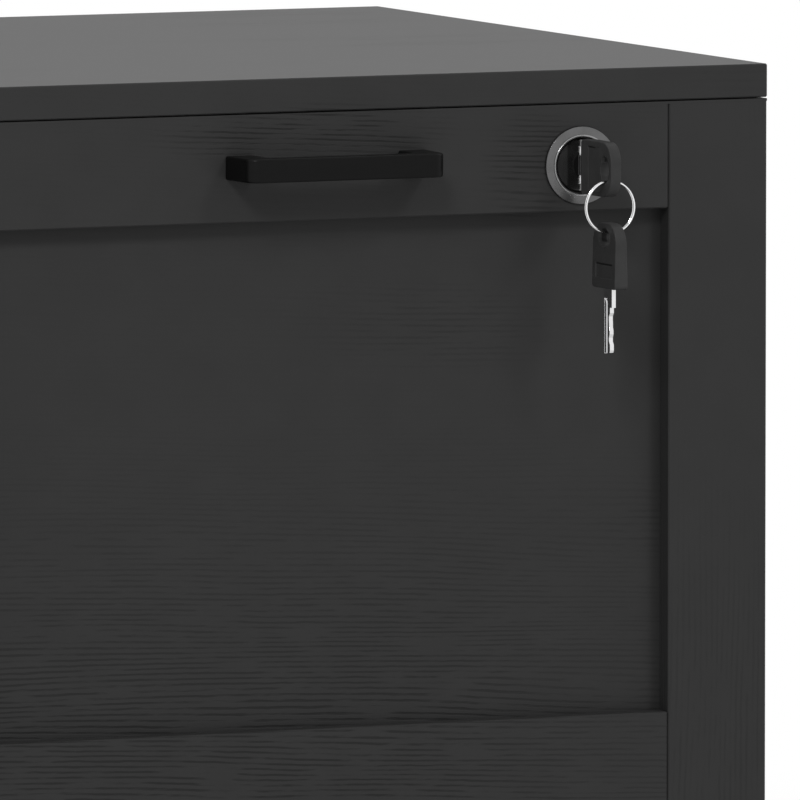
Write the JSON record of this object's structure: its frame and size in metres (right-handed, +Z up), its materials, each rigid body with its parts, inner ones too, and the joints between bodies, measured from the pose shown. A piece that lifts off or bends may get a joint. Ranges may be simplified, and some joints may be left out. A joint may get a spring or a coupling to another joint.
{
  "type": "vertical filing cabinet",
  "caption": "Vertical filing cabinet of black wood-grain board, with framed drawer fronts, bar handles, telescopic slides, hanging-file rails and a cam lock with keys.",
  "frame": {"origin": "on the floor, at the middle of the box round the cabinet with its handles and keys", "axes": "+X to the right seen from the front, +Y to the back, +Z up; drawers open along -Y"},
  "size_m": [0.46, 0.5064, 0.75],
  "materials": {
    "black_board": "embossed wood-grain foil, satin",
    "back_board": "smooth foil",
    "drawer_box_board": "smooth foil, satin",
    "black_metal": "satin lacquer",
    "chrome": "bright plated",
    "zinc_steel": "zinc plated, satin",
    "black_plastic": "moulded, fine texture"
  },
  "bodies": {
    "cabinet": {"top_panel": "black_board", "left_side_panel": "black_board", "right_side_panel": "black_board", "bottom_panel": "black_board", "front_top_rail": "black_board", "middle_rail": "black_board", "plinth_board": "black_board", "back_panel": "back_board", "front_left_glide": "black_plastic", "front_right_glide": "black_plastic", "rear_left_glide": "black_plastic", "rear_right_glide": "black_plastic", "lock_strike": "zinc_steel", "upper_left_slide_outer": "zinc_steel", "upper_right_slide_outer": "zinc_steel", "lower_left_slide_outer": "zinc_steel", "lower_right_slide_outer": "zinc_steel"},
    "upper_drawer": {"upper_front_board": "black_board", "upper_left_stile": "black_board", "upper_right_stile": "black_board", "upper_top_frame_rail": "black_board", "upper_bottom_frame_rail": "black_board", "upper_left_box_side": "drawer_box_board", "upper_right_box_side": "drawer_box_board", "upper_box_back": "drawer_box_board", "upper_box_bottom": "drawer_box_board", "upper_left_file_rail": "zinc_steel", "upper_right_file_rail": "zinc_steel", "upper_left_slide_inner": "zinc_steel", "upper_right_slide_inner": "zinc_steel", "upper_handle": "black_metal", "lock_trim_ring": "chrome", "lock_housing": "chrome", "lock_nut": "zinc_steel"},
    "upper_slide_middle": {"upper_left_slide_mid": "zinc_steel", "upper_right_slide_mid": "zinc_steel"},
    "lower_drawer": {"lower_front_board": "black_board", "lower_left_stile": "black_board", "lower_right_stile": "black_board", "lower_top_frame_rail": "black_board", "lower_bottom_frame_rail": "black_board", "lower_left_box_side": "drawer_box_board", "lower_right_box_side": "drawer_box_board", "lower_box_back": "drawer_box_board", "lower_box_bottom": "drawer_box_board", "lower_left_file_rail": "zinc_steel", "lower_right_file_rail": "zinc_steel", "lower_left_slide_inner": "zinc_steel", "lower_right_slide_inner": "zinc_steel", "lower_handle": "black_metal"},
    "lower_slide_middle": {"lower_left_slide_mid": "zinc_steel", "lower_right_slide_mid": "zinc_steel"},
    "lock": {"lock_plug": "black_metal", "lock_cam": "zinc_steel", "lock_cam_screw": "zinc_steel"},
    "key": {"key_blade": "chrome", "key_head": "black_plastic"},
    "key_ring": {"key_ring": "chrome"},
    "spare_key": {"spare_key_blade": "chrome", "spare_key_head": "black_plastic"}
  },
  "joints": [
    {"name": "upper_drawer_slide", "type": "slide", "parent": "cabinet", "child": "upper_drawer", "axis": [0, -1, 0], "range_m": [0, 0.4]},
    {"name": "upper_slide_middle_travel", "type": "slide", "parent": "cabinet", "child": "upper_slide_middle", "axis": [0, -1, 0], "range_m": [0, 0.2]},
    {"name": "lower_drawer_slide", "type": "slide", "parent": "cabinet", "child": "lower_drawer", "axis": [0, -1, 0], "range_m": [0, 0.4]},
    {"name": "lower_slide_middle_travel", "type": "slide", "parent": "cabinet", "child": "lower_slide_middle", "axis": [0, -1, 0], "range_m": [0, 0.2]},
    {"name": "lock_turn", "type": "hinge", "parent": "upper_drawer", "child": "lock", "pos_m": [0.1318, -0.2068, 0.7044], "axis": [0, -1, 0], "range_deg": [0, 90]},
    {"name": "key_withdraw", "type": "slide", "parent": "lock", "child": "key", "axis": [0, -1, 0], "range_m": [0, 0.03]},
    {"name": "key_ring_swing", "type": "hinge", "parent": "key", "child": "key_ring", "pos_m": [0.1318, -0.2402, 0.69909], "axis": [1, 0, 0], "range_deg": [-35, 8]},
    {"name": "spare_key_hang", "type": "hinge", "parent": "key_ring", "child": "spare_key", "pos_m": [0.1318, -0.2402, 0.68679], "axis": [0, -1, 0], "range_deg": [-90, 0]}
  ],
  "couplings": [
    {"joint": "upper_slide_middle_travel", "follows": "upper_drawer_slide", "ratio": 0.5},
    {"joint": "lower_slide_middle_travel", "follows": "lower_drawer_slide", "ratio": 0.5},
    {"joint": "spare_key_hang", "follows": "lock_turn", "ratio": -1}
  ]
}
